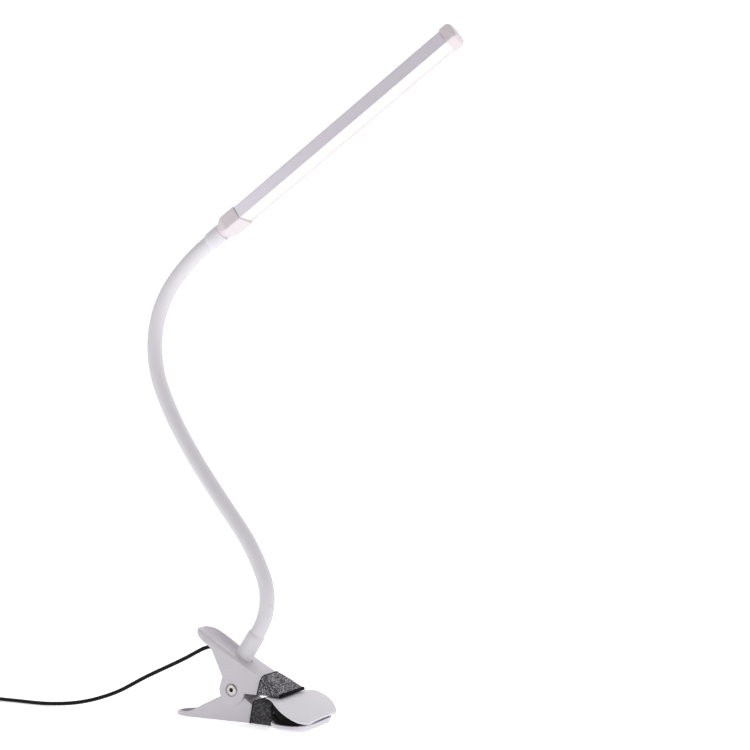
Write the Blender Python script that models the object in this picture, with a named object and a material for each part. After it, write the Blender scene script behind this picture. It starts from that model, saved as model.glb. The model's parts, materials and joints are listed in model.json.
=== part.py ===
"""Clip-on reading lamp: sprung clamp, jointed gooseneck, LED light bar and a USB lead with a push-button controller.

Metres, +Z up, +X is the way the jaws point. The origin is on the surface that the clamp stands on,
below the centre of the lamp's box. The lead and the pieces on it lie behind the lamp, towards -X.
"""
import math

import bmesh
import bpy
from mathutils import Matrix, Vector

MM = 0.001
GAP = 0.3 * MM  # clearance between neighbouring pieces

# ---- driving dimensions -------------------------------------------------------------------
PIVOT = Vector((-43.9 * MM, 0.0, 22.0 * MM))  # centre of the clamp's rivet
ARM_HALF = 11.0 * MM  # upper arm, half width
ARM_WALL = 2.1 * MM
LOWER_HALF = 8.6 * MM  # lower arm, half width: it sits between the upper arm's walls
LOWER_WALL = 2.0 * MM
TOP_AT_PIVOT = 22.2  # height of the upper arm's top line above the pivot, in mm
TOP_SLOPE = -0.51  # the top line falls by this much per mm towards the jaws
SKIN = 4.2  # upper arm's top skin, measured straight down, in mm
BASE_Z = -22.0  # the surface the lamp stands on, in mm from the pivot
HOSE_RADIUS = 5.2 * MM
FERRULE_RADIUS = 6.2 * MM
HOSE_START = (2.75, 20.8)  # where the gooseneck's axis leaves the upper arm, in mm
HOSE_START_ANGLE = 57.0  # its direction there, degrees above +X
FERRULE_LENGTH = 22.5  # from the arm's skin to the first joint, in mm
LINK_LENGTH = 38.98  # one gooseneck link, joint to joint, in mm
LINK_TURNS = (55.0, 16.5, -1.0, -5.0, -10.0, -28.5, -33.5, -18.6)  # each link's bend at rest, degrees
BAR_ANGLE = 32.4  # the light bar's slope, degrees
BAR_WIDTH = 16.0
BAR_HEIGHT = 9.4
BAR_START = 34.3  # along the bar's axis from the last gooseneck joint, in mm
BAR_END = 213.0
CAP_WIDTH = 17.4
CAP_HEIGHT = 10.6
CORD_RADIUS = 1.4 * MM
CORD_Y = -21.5  # where the controller and the coil's first turn lie
CONTROLLER_X = (-291.4, -229.4)
CONTROLLER_HALF = 9.5
CONTROLLER_Z = (-21.9, -10.9)
CABLE_Z = -17.25  # height of the lead through the controller
BUTTON_PITCH = 9.1
BUTTON_RADIUS = 2.8
COIL_CENTRE = (-335.0, -5.0)
COIL_MEAN = 16.5  # radius at the middle of the turns
COIL_BUNDLE = (11.2, 8.4)  # width and height of the bundle of turns
COIL_BOTTOM = -21.2
PLUG_Y = 11.5

# route of the lead from the gland in the upper arm to the controller, in mm from the pivot
LEAD_ROUTE = (
    (-15.9, 0.0, 22.9), (-22.5, 0.0, 26.2), (-29.0, -1.0, 25.0), (-46.0, -2.0, 16.2), (-75.0, -5.0, 2.4),
    (-98.0, -10.0, -9.8), (-122.0, -16.5, -17.3), (-149.0, -20.0, -20.4), (-180.0, -21.5, -20.55),
    (-202.0, -21.5, -20.3), (-217.7, -21.5, -17.25),
)
LEAD_TO_COIL = ((-303.1, -21.5, -17.25), (-311.0, -21.5, -17.2), (-318.2, -21.5, -17.0))
COIL_TO_PLUG = ((-318.2, 11.5, -17.0), (-312.0, 11.5, -17.6), (-305.3, 11.5, -18.2))

SIDES = 16


# ---- scene and materials ------------------------------------------------------------------
def clear_scene():
    for obj in list(bpy.data.objects):
        bpy.data.objects.remove(obj, do_unlink=True)


def material(name, colour, roughness, metallic=0.0, glow=0.0):
    mat = bpy.data.materials.new(name)
    mat.use_nodes = True
    shader = mat.node_tree.nodes["Principled BSDF"]
    shader.inputs["Base Color"].default_value = (*colour, 1.0)
    shader.inputs["Roughness"].default_value = roughness
    shader.inputs["Metallic"].default_value = metallic
    if glow:
        shader.inputs["Emission Color"].default_value = (*colour, 1.0)
        shader.inputs["Emission Strength"].default_value = glow
    return mat


clear_scene()
WHITE = material("white_plastic", (0.80, 0.78, 0.82), 0.42)
HOSE_WHITE = material("white_hose", (0.80, 0.78, 0.82), 0.5)
CAP_WHITE = material("cap_plastic", (0.78, 0.73, 0.77), 0.45)
ALUMINIUM = material("satin_aluminium", (0.60, 0.58, 0.66), 0.38, 0.6)
STEEL = material("steel", (0.62, 0.60, 0.57), 0.3, 1.0)
TWEED = material("tweed", (0.05, 0.05, 0.055), 0.95)
FOAM = material("black_foam", (0.012, 0.012, 0.012), 0.9)
LEAD_BLACK = material("lead_rubber", (0.02, 0.02, 0.02), 0.5)
CHARCOAL = material("charcoal_plastic", (0.06, 0.055, 0.06), 0.55)
BUTTON_WHITE = material("button_plastic", (0.85, 0.85, 0.85), 0.4)
BOARD = material("circuit_board", (0.85, 0.86, 0.84), 0.5)
DIFFUSER = material("diffuser", (1.0, 0.97, 0.93), 0.4, 0.0, 1.5)


# ---- frames: one empty on each joint's axis -----------------------------------------------
def clamp(x, z, y=0.0):
    """A point given in mm from the pivot, as a world position."""
    return PIVOT + Vector((x, y, z)) * MM


BODIES = {}


def body(name, at, parent=None):
    empty = bpy.data.objects.new(name, None)
    bpy.context.collection.objects.link(empty)
    if parent:
        empty.parent = BODIES[parent][0]
        empty.location = at - BODIES[parent][1]
    else:
        empty.location = at
    BODIES[name] = (empty, at.copy())


def joint_points():
    """The gooseneck's joints and the direction there: each link is an arc between two of them."""
    angle = math.radians(HOSE_START_ANGLE)
    x = HOSE_START[0] + FERRULE_LENGTH * math.cos(angle)
    z = HOSE_START[1] + FERRULE_LENGTH * math.sin(angle)
    points = [(clamp(x, z), angle)]
    for turn in LINK_TURNS:
        half = math.radians(turn) / 2
        chord = LINK_LENGTH * math.sin(half) / half
        x += chord * math.cos(angle + half)
        z += chord * math.sin(angle + half)
        angle += 2 * half
        points.append((clamp(x, z), angle))
    return points


JOINTS = joint_points()
HEAD_AT = JOINTS[-1][0]
ALONG = Vector((math.cos(math.radians(BAR_ANGLE)), 0, math.sin(math.radians(BAR_ANGLE))))
ACROSS = Vector((0, 1, 0))
SHINE = Vector((ALONG.z, 0, -ALONG.x))  # the way the diffuser faces

body("upper_arm_body", PIVOT)
body("lower_arm_hinge", PIVOT, "upper_arm_body")
for number, (at, _) in enumerate(JOINTS[:-1], 1):
    body(f"gooseneck_joint_{number}", at, f"gooseneck_joint_{number - 1}" if number > 1 else "upper_arm_body")
body("head_joint", HEAD_AT, f"gooseneck_joint_{len(LINK_TURNS)}")


# ---- mesh tools ---------------------------------------------------------------------------
def add_object(name, bm, mat, owner="upper_arm_body", smooth=30.0):
    """Make an object of world-space geometry, with its origin on its body's joint."""
    bmesh.ops.recalc_face_normals(bm, faces=bm.faces)
    if bm.calc_volume(signed=True) < 0:
        bmesh.ops.reverse_faces(bm, faces=bm.faces)
    empty, at = BODIES[owner]
    bmesh.ops.translate(bm, verts=bm.verts, vec=-at)
    mesh = bpy.data.meshes.new(name)
    bm.to_mesh(mesh)
    bm.free()
    mesh.materials.append(mat)
    mesh.shade_smooth()
    mesh.set_sharp_from_angle(angle=math.radians(smooth))
    obj = bpy.data.objects.new(name, mesh)
    bpy.context.collection.objects.link(obj)
    obj.parent = empty
    return obj


def loft(rings, close_ends=True):
    """Join rings that all have the same number of points; a ring of one point is a pole."""
    bm = bmesh.new()
    rows = [[bm.verts.new(p) for p in ring] for ring in rings]
    for low, high in zip(rows, rows[1:]):
        count = max(len(low), len(high))
        for k in range(count):
            a, b = low[k % len(low)], low[(k + 1) % len(low)]
            c, d = high[(k + 1) % len(high)], high[k % len(high)]
            corners = list(dict.fromkeys((a, b, c, d)))
            bm.faces.new(corners)
    for row in (rows[0], rows[-1]):
        if close_ends and len(row) > 1:
            bm.faces.new(row)
    return bm


def turned(profile, at, axis, sides=SIDES, hollow=False):
    """Turn (radius, distance along the axis) pairs; hollow joins the last ring to the first."""
    axis = axis.normalized()
    side = axis.orthogonal().normalized()
    other = axis.cross(side)
    rings = []
    for radius, along in profile:
        centre = at + axis * along
        if radius == 0:
            rings.append([centre])
            continue
        ring = []
        for k in range(sides):
            a = 2 * math.pi * k / sides
            ring.append(centre + (side * math.cos(a) + other * math.sin(a)) * radius)
        rings.append(ring)
    if not hollow:
        return loft(rings)
    bm = loft(rings, close_ends=False)
    bmesh.ops.bridge_loops(bm, edges=[e for e in bm.edges if e.is_boundary])
    return bm


def prism(outline, low, high, place):
    """Extrude a closed outline of (a, b) pairs; place(a, b, c) gives a world position."""
    return loft([[place(a, b, low) for a, b in outline], [place(a, b, high) for a, b in outline]])


def side_prism(outline, y_low, y_high):
    """Extrude a side view, (x, z) in mm from the pivot, across the lamp."""
    return prism(outline, y_low, y_high, lambda x, z, y: clamp(x, z, y))


def arc(centre, radius, start, end, steps):
    """Points on a circle, angles in degrees."""
    points = []
    for k in range(steps + 1):
        a = math.radians(start + (end - start) * k / steps)
        points.append((centre[0] + radius * math.cos(a), centre[1] + radius * math.sin(a)))
    return points


def rounded_rectangle(width, height, corner, steps=3):
    half_w, half_h = width / 2 - corner, height / 2 - corner
    points = []
    for sx, sy, start in ((1, 1, 0), (-1, 1, 90), (-1, -1, 180), (1, -1, 270)):
        points += arc((sx * half_w, sy * half_h), corner, start, start + 90, steps)
    return points


def box(low, high):
    bm = bmesh.new()
    bmesh.ops.create_cube(bm, size=1.0)
    size = [b - a for a, b in zip(low, high)]
    centre = [(a + b) / 2 for a, b in zip(low, high)]
    bmesh.ops.transform(bm, verts=bm.verts, matrix=Matrix.Translation(centre) @ Matrix.Diagonal((*size, 1)))
    return bm


def clamp_box(x, y, z):
    """A box from (low, high) pairs in mm from the pivot."""
    return box(clamp(x[0], z[0], y[0]), clamp(x[1], z[1], y[1]))


def bevel(obj, width, segments=2, angle=40.0):
    mod = obj.modifiers.new("Edges", "BEVEL")
    mod.width = width
    mod.segments = segments
    mod.limit_method = "ANGLE"
    mod.angle_limit = math.radians(angle)
    mod.use_clamp_overlap = True


def cut(obj, bm, name, operation="DIFFERENCE"):
    """Cut obj with a closed shape, which stays in the file as a hidden wire guide."""
    guide = add_object(name, bm, WHITE)
    guide.hide_render = True
    guide.display_type = "WIRE"
    mod = obj.modifiers.new(name, "BOOLEAN")
    mod.operation = operation
    mod.object = guide
    mod.solver = "EXACT"


def smooth_curve(points, step):
    """A Catmull-Rom curve through the points, with a point about every step."""
    ends = [2 * points[0] - points[1], *points, 2 * points[-1] - points[-2]]
    curve = []
    for a, b, c, d in zip(ends, ends[1:], ends[2:], ends[3:]):
        count = max(1, round((c - b).length / step))
        for k in range(count):
            t = k / count
            curve.append(
                0.5 * ((2 * b) + (c - a) * t + (2 * a - 5 * b + 4 * c - d) * t**2 + (3 * b - a - 3 * c + d) * t**3)
            )
    return [*curve, points[-1]]


def lead(name, points):
    """A round lead as a curve with a bevel and filled caps."""
    curve = bpy.data.curves.new(name, "CURVE")
    curve.dimensions = "3D"
    curve.bevel_depth = CORD_RADIUS
    curve.bevel_resolution = 2
    curve.use_fill_caps = True
    curve.materials.append(LEAD_BLACK)
    spline = curve.splines.new("POLY")
    spline.points.add(len(points) - 1)
    at = BODIES["upper_arm_body"][1]
    for target, point in zip(spline.points, points):
        target.co = (*(point - at), 1.0)
    obj = bpy.data.objects.new(name, curve)
    bpy.context.collection.objects.link(obj)
    obj.parent = BODIES["upper_arm_body"][0]
    return obj


# ---- clamp: the upper arm -----------------------------------------------------------------
def top_line(x):
    return TOP_AT_PIVOT + TOP_SLOPE * x


NECK_START = 22.0  # where the arm becomes the neck that carries the fabric sleeve
NECK_END = 38.5
NECK_LOW = -0.2  # underside of the neck
NECK = ((10.0, top_line(10.0)), (NECK_START, top_line(NECK_START)), (NECK_END, 0.4))  # the neck's top edge
NECK_FLARE = 1.32  # the neck's half width at its front, as a share of its half width at the back


def flare(obj_bm, start, end, share):
    """Widen a clamp piece in y between start and end, in mm from the pivot."""
    for x in (start, end):
        geom = [*obj_bm.verts, *obj_bm.edges, *obj_bm.faces]
        bmesh.ops.bisect_plane(obj_bm, geom=geom, plane_co=clamp(x, 0), plane_no=(1, 0, 0), dist=1e-6)
    for vert in obj_bm.verts:
        x = (vert.co.x - PIVOT.x) / MM
        t = min(max((x - start) / (end - start), 0.0), 1.0)
        vert.co.y *= 1 + (share - 1) * t
    return obj_bm


# the thumb pad, station by station: x, half width, height of its rims over the top line, thickness, in mm
THUMB_PAD = (
    (-32.4, 2.0, 0.9, 2.0), (-32.0, 4.2, 1.4, 2.3), (-30.8, 6.4, 2.1, 2.6), (-28.8, 8.4, 2.8, 2.8),
    (-26.2, 9.8, 3.3, 3.0), (-23.5, 10.7, 3.6, 3.2), (-18.0, 10.9, 3.5, 3.4), (-12.0, 10.9, 2.9, 3.4),
    (-7.0, 10.9, 2.3, 3.4), (-2.0, 10.9, 1.9, 3.4), (4.0, 10.9, 1.4, 3.4), (8.5, 10.9, 0.6, 3.4),
    (12.5, 10.9, -0.3, 3.4),
)
# the scoop in it: x, half width, height of its floor over the top line
SCOOP = (
    (-30.6, 2.8, 2.4), (-29.4, 5.2, 1.7), (-27.0, 7.2, 0.9), (-22.0, 8.2, -0.2), (-16.0, 8.5, -1.1),
    (-10.0, 8.4, -1.8), (-5.0, 8.4, -2.3), (0.0, 8.4, -2.3), (3.5, 8.2, -1.9), (7.0, 7.4, -0.9), (10.5, 6.2, 0.5),
)


def over_line(x, height, y):
    return clamp(x, top_line(x) + height, y)


def thumb_pad():
    """A plate along the arm's top line whose rims are rounded over."""
    rings = []
    for x, half, rim, thick in THUMB_PAD:
        round_over = min(2.0, 0.4 * half)
        ring = [over_line(x, -thick, -half + 0.8), over_line(x, -thick, half - 0.8)]
        ring.append(over_line(x, -thick + 0.8, half))
        for a in (0, 30, 60, 90):
            y = half - round_over + round_over * math.cos(math.radians(a))
            ring.append(over_line(x, rim * math.sin(math.radians(a)) - 0.1, y))
        for a in (90, 60, 30, 0):
            y = half - round_over + round_over * math.cos(math.radians(a))
            ring.append(over_line(x, rim * math.sin(math.radians(a)) - 0.1, -y))
        ring.append(over_line(x, -thick + 0.8, -half))
        rings.append(ring)
    return loft(rings)


def scoop():
    rings = []
    for x, half, height in SCOOP:
        shares = [k / 4 - 1 for k in range(9)]
        ring = [over_line(x, height + (4.3 - height) * s**2, s * half) for s in shares]
        ring += [over_line(x, 9.0, half), over_line(x, 9.0, -half)]
        rings.append(ring)
    return loft(rings)


def upper_arm():
    outline = [(-21.5, top_line(-21.5)), *NECK[1:3], (NECK_END, NECK_LOW), (20.4, NECK_LOW), (20.0, -1.8)]
    outline += arc((0, 0), 10.0, -10.4, -188.0, 12)
    outline += [(-7.6, 8.3), (-16.5, 26.8), (-19.6, top_line(-19.6) - 3.0)]
    bm = side_prism(outline, -ARM_HALF / MM, ARM_HALF / MM)
    flare(bm, NECK_START, NECK_END, NECK_FLARE)
    obj = add_object("upper_arm", bm, WHITE)
    inside = ARM_HALF / MM - ARM_WALL / MM
    ceiling = [(-19.0, top_line(-19.0) - SKIN), (14.0, top_line(14.0) - SKIN)]
    ceiling += [(14.0, -15.0), (-40.0, -15.0), (-40.0, 20.0)]
    cut(obj, side_prism(ceiling, -inside, inside), "upper_arm_hollow")
    bevel(obj, 0.6 * MM, 2, 50.0)
    cut(obj, thumb_pad(), "thumb_pad", "UNION")
    cut(obj, scoop(), "thumb_scoop")
    axis = Vector((math.cos(JOINTS[0][1]), 0, math.sin(JOINTS[0][1])))
    start = clamp(*HOSE_START)
    cut(obj, turned([(FERRULE_RADIUS + GAP, -9 * MM), (FERRULE_RADIUS + GAP, 14 * MM)], start, axis, 24), "hose_hole")
    across = [(2.8 * MM, -13 * MM), (2.8 * MM, 13 * MM)]
    cut(obj, turned(across, PIVOT, ACROSS, 20), "upper_rivet_hole")
    for side in (-1, 1):
        seat = [(4.7 * MM, 0.0), (4.7 * MM, 1.6 * MM)]
        at = PIVOT + ACROSS * side * (ARM_HALF - 0.8 * MM)
        cut(obj, turned(seat, at, ACROSS * side, 24), f"rivet_seat_{'near' if side < 0 else 'far'}")


# ---- clamp: the lower arm -----------------------------------------------------------------
def lower_arm():
    outline = [(-52.0, BASE_Z), (13.4, BASE_Z), (13.4, -20.2), (46.0, -20.2), (46.0, -17.9), (33.0, -17.9)]
    outline += [(33.0, -8.6), (25.0, -7.4), (19.0, -8.2), (15.2, -9.4), (7.4, -4.2)]
    outline += arc((0, 0), 8.0, -29.0, 200.0, 14)
    outline += [(-11.0, -5.6), (-26.5, -13.2), (-30.5, -15.4), (-34.5, -17.4), (-38.5, -18.7), (-52.0, -19.6)]
    half = LOWER_HALF / MM
    obj = add_object("lower_arm", side_prism(outline, -half, half), WHITE, "lower_arm_hinge")
    tip = [(-50.4, 1.2), (-49.9, 3.0), (-48.6, 4.8), (-46.6, 6.3), (-44.2, 7.4), (-41.4, 8.2), (-38.5, 8.7)]
    plan = [(x, -y) for x, y in tip] + [(50.0, -12.0), (50.0, 12.0)] + [(x, y) for x, y in reversed(tip)]
    cut(obj, prism(plan, BASE_Z - 5.0, 20.0, lambda x, y, z: clamp(x, z, y)), "lower_arm_plan", "INTERSECT")
    slope = [(-55.0, BASE_Z - 1.0), (-44.0, BASE_Z - 1.0), (-44.0, BASE_Z - 0.4), (-55.0, BASE_Z + 1.2)]
    cut(obj, side_prism(slope, -12.0, 12.0), "lower_tip_slope")
    bevel(obj, 0.4 * MM, 2, 50.0)
    inside = half - LOWER_WALL / MM
    plan = [(-48.2, -1.6), (-46.8, -3.6), (-44.4, -5.2), (-41.2, -6.3), (-38.0, -inside), (11.0, -inside)]
    plan += [(x, -y) for x, y in reversed(plan)]
    cut(obj, prism(plan, -21.0, 20.0, lambda x, y, z: clamp(x, z, y)), "lower_arm_hollow")
    rib = clamp_box((-40.6, -39.2), (-inside - 0.5, inside + 0.5), (-21.4, -19.4))
    cut(obj, rib, "lower_arm_rib", "UNION")
    cut(obj, turned([(2.8 * MM, -13 * MM), (2.8 * MM, 13 * MM)], PIVOT, ACROSS, 20), "lower_rivet_hole")


# ---- clamp: jaw plates and pads -----------------------------------------------------------
# stations along the upper plate: x, half width, top, all in mm
PLATE = (
    (28.0, 13.5, -1.95), (33.0, 16.5, -1.95), (38.0, 21.5, -2.0), (42.0, 26.0, -2.5), (45.0, 28.4, -3.4),
    (48.0, 30.0, -5.0), (51.0, 30.8, -6.6), (54.0, 30.6, -8.5), (57.0, 29.4, -10.5), (60.0, 26.8, -12.6),
    (62.5, 23.4, -13.9), (64.0, 20.4, -14.5), (64.6, 18.0, -14.7),
)
# stations along the lower tray: x, half width
TRAY = (
    (34.5, 17.0), (38.0, 20.8), (41.5, 23.4), (46.0, 24.6), (51.0, 24.6), (55.0, 23.8), (58.5, 21.8), (61.0, 18.6),
    (62.6, 14.8), (63.3, 11.0),
)
PLATE_SHARES = (-1.0, -0.93, -0.84, -0.5, 0.0, 0.5, 0.84, 0.93, 1.0)
PAD_SHARES = (-1.0, -0.67, -0.33, 0.0, 0.33, 0.67, 1.0)
CROWN = 0.8  # the upper plate's rise at its middle
LOWER_TRAY_TOP = -17.3
MOUTH = ((27.0, -10.0), (62.5, -16.9))  # side view of the line where the two pads meet


def mouth_line(x):
    (x0, z0), (x1, z1) = MOUTH
    return z0 + (z1 - z0) * (x - x0) / (x1 - x0)


def plate_thickness(x):
    return 0.9 + 0.7 * min(max((x - 28.0) / 12.0, 0.0), 1.0)


def station_solid(stations, top, bottom, shares):
    """A solid from cross sections: top(x, share, z) and bottom(x, share, z) over share -1 to 1."""
    rings = []
    for x, half, z in stations:
        ring = [clamp(x, top(x, s, z), s * half) for s in shares]
        ring += [clamp(x, bottom(x, s, z), s * half) for s in reversed(shares)]
        rings.append(ring)
    return loft(rings)


def crown(x, share):
    return CROWN * (1 - share * share) * min(max((x - 38.0) / 8.0, 0.0), 1.0)


def upper_jaw():
    def top(x, s, z):
        return z + crown(x, s)

    def under(x, s, z):
        return z + crown(x, s) - plate_thickness(x)

    obj = add_object("upper_jaw_plate", station_solid(PLATE, top, under, PLATE_SHARES), WHITE)
    bevel(obj, 0.45 * MM, 2, 50.0)

    def pad_top(x, s, z):
        return z + crown(x, s) * 0.5 - plate_thickness(x) - 0.35

    def pad_under(x, s, z):
        return min(mouth_line(x) + 0.15, pad_top(x, s, z) - 0.3)

    stations = [(max(x, 33.6), half - 3.0, z) for x, half, z in PLATE[1:-3]]
    pad = add_object("upper_jaw_pad", station_solid(stations, pad_top, pad_under, PAD_SHARES), FOAM)
    bevel(pad, 0.3 * MM, 1, 60.0)


def lower_jaw():
    def top(x, s, z):
        return LOWER_TRAY_TOP

    def under(x, s, z):
        side = max(0.0, abs(s) - 0.84) / 0.16
        front = max(0.0, x - 59.0) / 5.5
        return BASE_Z + min(2.9, 2.8 * side**1.4 + 2.2 * front**1.5)

    stations = [(x, half, 0.0) for x, half in TRAY]
    obj = add_object("lower_jaw_plate", station_solid(stations, top, under, PLATE_SHARES), WHITE, "lower_arm_hinge")
    bevel(obj, 0.6 * MM, 2, 50.0)
    cut(obj, clamp_box((30.0, 46.4), (-9.0, 9.0), (-20.5, -10.0)), "nose_slot")

    def pad_top(x, s, z):
        return mouth_line(x) - 0.15

    def pad_under(x, s, z):
        return LOWER_TRAY_TOP + 0.3

    inset = [(max(x, 35.0), half - 0.9, 0.0) for x, half in TRAY[:-2]]
    pad = add_object("lower_jaw_pad", station_solid(inset, pad_top, pad_under, PAD_SHARES), FOAM, "lower_arm_hinge")
    bevel(pad, 0.3 * MM, 1, 60.0)


# ---- clamp: fabric sleeves ----------------------------------------------------------------
def band(stations, steps=4):
    """A block whose top corners are rounded. Station: x at the bottom and top, z low and high, half width, corner."""
    rings = []
    for x_low, x_high, z_low, z_high, half, corner in stations:
        section = [(-half, z_low), (half, z_low)]
        section += arc((half - corner, z_high - corner), corner, 0, 90, steps)
        section += arc((corner - half, z_high - corner), corner, 90, 180, steps)
        ring = []
        for y, z in section:
            share = (z - z_low) / (z_high - z_low)
            ring.append(clamp(x_low + (x_high - x_low) * share, z, y))
        rings.append(ring)
    return loft(rings)


UPPER_BAND = (
    (20.8, 24.2, -1.7, 11.4, 12.6, 4.6), (24.5, 28.0, -1.7, 9.6, 13.2, 4.0), (31.0, 33.5, -1.4, 5.9, 14.4, 2.2),
    (37.0, 38.2, -1.1, 2.6, 15.5, 1.5), (41.2, 41.2, -0.9, 0.7, 16.0, 0.7),
)
LOWER_BAND = (
    (13.8, 16.4, -21.7, -6.6, 10.2, 2.6), (18.0, 20.0, -21.7, -5.6, 10.6, 2.6), (25.0, 25.5, -21.7, -5.4, 11.4, 2.4),
    (31.6, 31.6, -21.7, -6.8, 12.4, 2.0),
)


def sleeves():
    """Each sleeve's bore is its neck's own outline, a little larger."""
    grow = 0.35
    obj = add_object("upper_sleeve", band(UPPER_BAND), TWEED)
    over = [(x, z + grow) for x, z in NECK]
    outline = [*over, (NECK_END + grow, 0.4 + grow), (NECK_END + grow, NECK_LOW - grow), (10.0, NECK_LOW - grow)]
    half = ARM_HALF / MM + grow
    bore = flare(side_prism(outline, -half, half), NECK_START, NECK_END, NECK_FLARE)
    cut(obj, bore, "upper_sleeve_bore")

    obj = add_object("lower_sleeve", band(LOWER_BAND), TWEED, "lower_arm_hinge")
    outline = [(7.4, -20.2 - grow), (45.0, -20.2 - grow), (45.0, -12.0 + grow), (33.0, -8.6 + grow)]
    outline += [(25.0, -7.4 + grow), (19.0, -8.2 + grow), (15.2, -9.4 + grow + 0.1), (7.4, -3.7)]
    half = LOWER_HALF / MM + grow
    cut(obj, side_prism(outline, -half, half), "lower_sleeve_bore")


# ---- clamp: rivet, washer and spring ------------------------------------------------------
def pivot_parts():
    reach = ARM_HALF - 0.8 * MM
    near, far = -reach - GAP, reach + 1.1 * MM
    profile = [
        (1.5 * MM, near - 1.0 * MM), (3.2 * MM, near - 1.0 * MM), (3.8 * MM, near - 0.6 * MM), (3.8 * MM, near),
        (2.45 * MM, near), (2.45 * MM, far), (3.4 * MM, far), (3.4 * MM, far + 0.5 * MM),
        (2.9 * MM, far + 0.8 * MM), (1.5 * MM, far + 0.8 * MM),
    ]
    add_object("clamp_rivet", turned(profile, PIVOT, ACROSS, 20, hollow=True), STEEL)
    washer = [(2.75 * MM, 0), (4.3 * MM, 0), (4.3 * MM, 0.5 * MM), (2.75 * MM, 0.5 * MM)]
    at = PIVOT + ACROSS * (reach + GAP)
    add_object("rivet_washer", turned(washer, at, ACROSS, 20, hollow=True), STEEL)


def torsion_spring():
    """Five turns of 1.5 mm wire round the rivet, with one leg along each arm."""
    mean, turns, wire, per_turn = 4.6, 4.5, 0.75, 14
    points = [clamp(-16.0, 22.0, 4.9)]
    count = int(turns * per_turn)
    for k in range(count + 1):
        a = math.radians(150.0) + 2 * math.pi * k / per_turn
        y = 4.9 - 9.8 * k / count
        points.append(clamp(mean * math.cos(a), mean * math.sin(a), y))
    points.append(clamp(-24.0, -18.6, -4.9))
    rings = tube_rings(points, wire * MM, 8)
    add_object("torsion_spring", loft(rings), STEEL)


def tube_rings(points, radius, sides):
    """Rings of a round tube along points, turned as little as possible from one to the next."""
    rings = []
    side = None
    for k, point in enumerate(points):
        before = points[max(k - 1, 0)]
        after = points[min(k + 1, len(points) - 1)]
        direction = (after - before).normalized()
        if side is None:
            side = direction.orthogonal().normalized()
        side = (side - direction * side.dot(direction)).normalized()
        other = direction.cross(side)
        ring = []
        for j in range(sides):
            a = 2 * math.pi * j / sides
            ring.append(point + (side * math.cos(a) + other * math.sin(a)) * radius)
        rings.append(ring)
    return rings


# ---- gooseneck ----------------------------------------------------------------------------
def hose_base():
    angle = JOINTS[0][1]
    axis = Vector((math.cos(angle), 0, math.sin(angle)))
    length = FERRULE_LENGTH * MM
    profile = [(4.0 * MM, -9.5 * MM), (4.0 * MM, -3.4 * MM), (FERRULE_RADIUS, -3.4 * MM)]
    profile += [(FERRULE_RADIUS, length - 4.5 * MM), (FERRULE_RADIUS - 0.2 * MM, length - 3.2 * MM)]
    profile += [(HOSE_RADIUS, length - 1.5 * MM)]
    profile += [(HOSE_RADIUS * math.cos(a), length + HOSE_RADIUS * math.sin(a)) for a in (0.0, 0.4, 0.8, 1.2)]
    profile += [(0, length + HOSE_RADIUS)]
    add_object("hose_base_ferrule", turned(profile, clamp(*HOSE_START), axis, 20), HOSE_WHITE)
    nut = turned([(6.2 * MM, 0), (6.2 * MM, 3.2 * MM)], clamp(*HOSE_START) - axis * 7.9 * MM, axis, 6)
    obj = add_object("hose_lock_nut", nut, STEEL)
    bore = [(4.3 * MM, -2 * MM), (4.3 * MM, 6 * MM)]
    cut(obj, turned(bore, clamp(*HOSE_START) - axis * 7.9 * MM, axis, SIDES), "nut_bore")


CUP = HOSE_RADIUS + GAP  # radius of the socket that turns on the ball end before it
CUP_RIM = math.asin(HOSE_RADIUS / CUP)  # polar angle of its rim


def ring_at(centre, direction, radius, sides=SIDES):
    """A ring round a direction that lies in the XZ plane."""
    up = Vector((0, 1, 0)).cross(direction)
    ring = []
    for k in range(sides):
        a = 2 * math.pi * k / sides
        ring.append(centre + (ACROSS * math.cos(a) + up * math.sin(a)) * radius)
    return ring


def heading(angle):
    return Vector((math.cos(angle), 0, math.sin(angle)))


def cup_rings(at, direction, sides=SIDES):
    rings = [[at + direction * CUP]]
    for share in (0.33, 0.66, 1.0):
        polar = CUP_RIM * share
        rings.append(ring_at(at + direction * CUP * math.cos(polar), direction, CUP * math.sin(polar), sides))
    return rings


def link(number):
    """One gooseneck link: a socket at its start, an arc of hose, and a ball at its end."""
    at, start = JOINTS[number - 1]
    turn = math.radians(LINK_TURNS[number - 1])
    length = LINK_LENGTH * MM
    rings = cup_rings(at, heading(start))
    first = CUP * math.cos(CUP_RIM) / length
    steps = max(3, math.ceil(abs(math.degrees(turn)) / 5))
    radius = length / turn
    normal = Vector((-math.sin(start), 0, math.cos(start)))
    for k in range(1, steps + 1):
        share = first + (1 - first) * k / steps
        a = turn * share
        centre = at + heading(start) * radius * math.sin(a) + normal * radius * (1 - math.cos(a))
        rings.append(ring_at(centre, heading(start + a), HOSE_RADIUS))
    end_at, end = JOINTS[number]
    for polar in (67.5, 45.0, 22.5):
        a = math.radians(polar)
        rings.append(ring_at(end_at + heading(end) * HOSE_RADIUS * math.cos(a), heading(end), HOSE_RADIUS * math.sin(a)))
    rings.append([end_at + heading(end) * HOSE_RADIUS])
    add_object(f"gooseneck_{number}", loft(rings), HOSE_WHITE, f"gooseneck_joint_{number}")


# ---- head ---------------------------------------------------------------------------------
def head(t, y, n):
    """A point of the head: t along the bar, y across, n towards the light, in mm."""
    return HEAD_AT + (ALONG * t + ACROSS * y + SHINE * n) * MM


def head_rings(sections):
    """Cross sections (t, width, height, corner radius) of a piece of the head."""
    return [[head(t, a, b) for a, b in rounded_rectangle(w, h, c)] for t, w, h, c in sections]


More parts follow.
